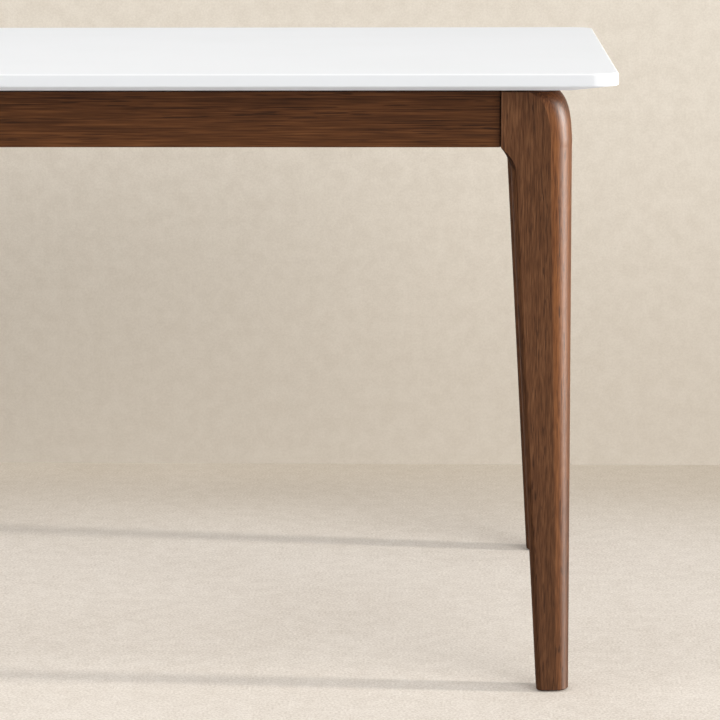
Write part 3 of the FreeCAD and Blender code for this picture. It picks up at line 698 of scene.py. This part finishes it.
stage = {
    "floorSize": 16.0,
    "backdropPlace": 0.99,                 # behind the table's middle
    "backdropHeight": 4.0,
    "backdropWidth": 14.0,
    "cloudPace": 3,                        # cycles per metre
    "mottlePace": 38,
    "gritPace": 300,
    "cut": (0.3, 0.7),                     # noise levels between which each of them deepens
    "shade": (0.30, 0.22, 0.14, 1),        # what they darken towards
    "cornerShadeReach": 0.75,                     # painted shade, reaching this far from the corner where floor and backdrop meet
    "floor": {
        "colour": (0.885, 0.816, 0.733, 1), "clouds": 0.06, "mottle": 0.12, "grit": 0.34,
        "cornerShade": 0.38, "cornerShadeColour": (0.30, 0.195, 0.06, 1),
    },
    "backdrop": {
        "colour": (0.772, 0.700, 0.598, 1), "clouds": 0.0, "mottle": 0.12, "grit": 0.12,
        "cornerShade": 0.34, "cornerShadeColour": (0.30, 0.23, 0.16, 1),
    },
    "bounce": (0.80, 0.80, 0.80, 1),       # what the floor throws back onto the table
    "roughness": 0.85,
    "ior": 1.3,
}


def seenRays(shade):  # 1 for what a camera sees, straight, mirrored or through glass
    straight, mirrored, through = [
        shade.node("LightPath", out=f"Is {ray} Ray") for ray in ("Camera", "Glossy", "Transmission")
    ]
    return shade.maths("MINIMUM", straight + mirrored + through, 1.0)


def stageMaterial(name, finish, corner):  # shows from its front only, so that no view is blocked
    material, shade, bsdf = newMaterial(name, {"Roughness": stage["roughness"], "IOR": stage["ior"]})
    place = shade.node("TexCoord", out="Object")
    clouds = place.noise(stage["cloudPace"]).between(*stage["cut"])
    mottle = place.noise(stage["mottlePace"], 5.0, 0.7).between(*stage["cut"])
    grit = place.noise(stage["gritPace"], 2.0, 0.7).between(*stage["cut"])
    up = place.parts()[1]
    # painted shade, deepest at the corner where floor and backdrop meet
    cornerShade = up.between(corner - stage["cornerShadeReach"], corner) - up.between(corner, corner + stage["cornerShadeReach"])
    darker = clouds * finish["clouds"] + mottle * finish["mottle"] + grit * finish["grit"]
    colour = shade.tint(darker, finish["colour"], stage["shade"])
    colour = shade.tint(cornerShade * finish["cornerShade"], colour, finish["cornerShadeColour"])
    shade.plug(bsdf.inputs["Base Color"], shade.tint(seenRays(shade), stage["bounce"], colour))
    opaque = Shade(shade.tree, bsdf.outputs[0])
    clear = shade.node("BsdfTransparent")
    behind = shade.node("NewGeometry", out="Backfacing")
    output = next(item for item in shade.tree.nodes if item.type == "OUTPUT_MATERIAL")
    shade.plug(output.inputs["Surface"], shade.node("MixShader", None, {0: behind, 1: opaque, 2: clear}))
    return material


def stageSheet(name, width, height, place, turn, material):
    mesh = bpy.data.meshes.new(name)
    halfWidth = width / 2
    halfHeight = height / 2
    points = [
        (-halfWidth, -halfHeight, 0), (halfWidth, -halfHeight, 0),
        (halfWidth, halfHeight, 0), (-halfWidth, halfHeight, 0),
    ]
    mesh.from_pydata(points, [], [(0, 1, 2, 3)])
    mesh.materials.append(material)
    sheet = bpy.data.objects.new(name, mesh)
    bpy.context.collection.objects.link(sheet)
    sheet.location = place
    sheet.rotation_euler = turn
    return sheet


backdropMiddle = stage["backdropHeight"] / 2
floorFinish = stageMaterial("paleFloor", stage["floor"], stage["backdropPlace"])
backdropFinish = stageMaterial("paleBackdrop", stage["backdrop"], -backdropMiddle)
stageSheet("floor", stage["floorSize"], stage["floorSize"], (0, 0, 0), (0, 0, 0), floorFinish)
backdrop = stageSheet("backdrop", stage["backdropWidth"], stage["backdropHeight"],
                      (0, stage["backdropPlace"], backdropMiddle), (math.radians(90), 0, 0), backdropFinish)
backdrop.visible_shadow = False
backdrop.visible_diffuse = False  # lights the floor alike on both its sides

lamps = {  # sizes are width and height in metres, spreads in degrees
    "keyLamp": {
        "place": (10.0, -0.95, 1.90), "aim": (0.8, -0.4, 0.50), "size": (0.6, 3.4),
        "watts": 66, "spread": 40, "colour": (1.0, 0.975, 0.93), "shadow": True,
    },
    "sideLamp": {
        "place": (6.4, -8.4, 4.60), "aim": (0.2, -0.2, 0.50), "size": (11.0, 6.0),
        "watts": 108, "spread": 60, "colour": (1.0, 1.0, 1.0), "shadow": True,
    },
    "overheadLamp": {
        "place": (0.0, -1.0, 3.4), "aim": (0.0, -0.7, 0.70), "size": (4.4, 0.5),
        "watts": 20, "spread": 180, "colour": (1.0, 1.0, 1.0), "shadow": True,
    },
    "backLamp": {
        "place": (-5.0, 7.0, 3.6), "aim": (0.0, 0.4, 0.50), "size": (4.0, 3.0),
        "watts": 55, "spread": 60, "colour": (1.0, 1.0, 1.0), "shadow": False,
    },
}
for name, made in lamps.items():
    lamp = bpy.data.lights.new(name, "AREA")
    lamp.shape = "RECTANGLE"
    lamp.size, lamp.size_y = made["size"]
    lamp.energy = made["watts"]
    lamp.color = made["colour"]
    lamp.spread = math.radians(made["spread"])
    lamp.use_shadow = made["shadow"]
    lampObject = bpy.data.objects.new(name, lamp)
    bpy.context.collection.objects.link(lampObject)
    lampObject.location = made["place"]
    ray = Vector(made["aim"]) - Vector(made["place"])
    lampObject.rotation_euler = ray.to_track_quat("-Z", "Y").to_euler()

surround = {
    "light": (0.96, 0.99, 1.03, 1),
    "strength": 0.44,
    "seen": (0.72, 0.67, 0.60, 1),     # what cameras and reflections meet past the floor
}
world = bpy.data.worlds.new("studio")
bpy.context.scene.world = world
world.use_nodes = True
world.node_tree.nodes.clear()
sky = Shade(world.node_tree)
lit = sky.node("Background", None, {"Color": surround["light"], "Strength": surround["strength"]})
seen = sky.node("Background", None, {"Color": surround["seen"], "Strength": 1.0})
mixed = sky.node("MixShader", None, {0: seenRays(sky), 1: lit, 2: seen})
worldOutput = world.node_tree.nodes.new("ShaderNodeOutputWorld")
sky.plug(worldOutput.inputs["Surface"], mixed)

view = {  # a long lens, a little above the table and in line with its right-hand legs
    "place": (0.735, -4.0416, 1.0173),
    "pitchDown": 9.511,       # degrees
    "turnLeft": 2.161,
    "roll": -0.20,
    "lens": 155.46,           # millimetres
    "sensor": 36.0,
}
camera = bpy.data.cameras.new("camera")
camera.lens = view["lens"]
camera.sensor_width = view["sensor"]
cameraObject = bpy.data.objects.new("camera", camera)
bpy.context.collection.objects.link(cameraObject)
aimed = Euler((math.radians(90 - view["pitchDown"]), 0, math.radians(view["turnLeft"]))).to_matrix()
cameraObject.rotation_euler = (aimed @ Matrix.Rotation(math.radians(view["roll"]), 3, "Z")).to_euler()
cameraObject.location = view["place"]
bpy.context.scene.camera = cameraObject
bpy.context.scene.view_settings.view_transform = "Standard"
print("stage, lamps and camera done")
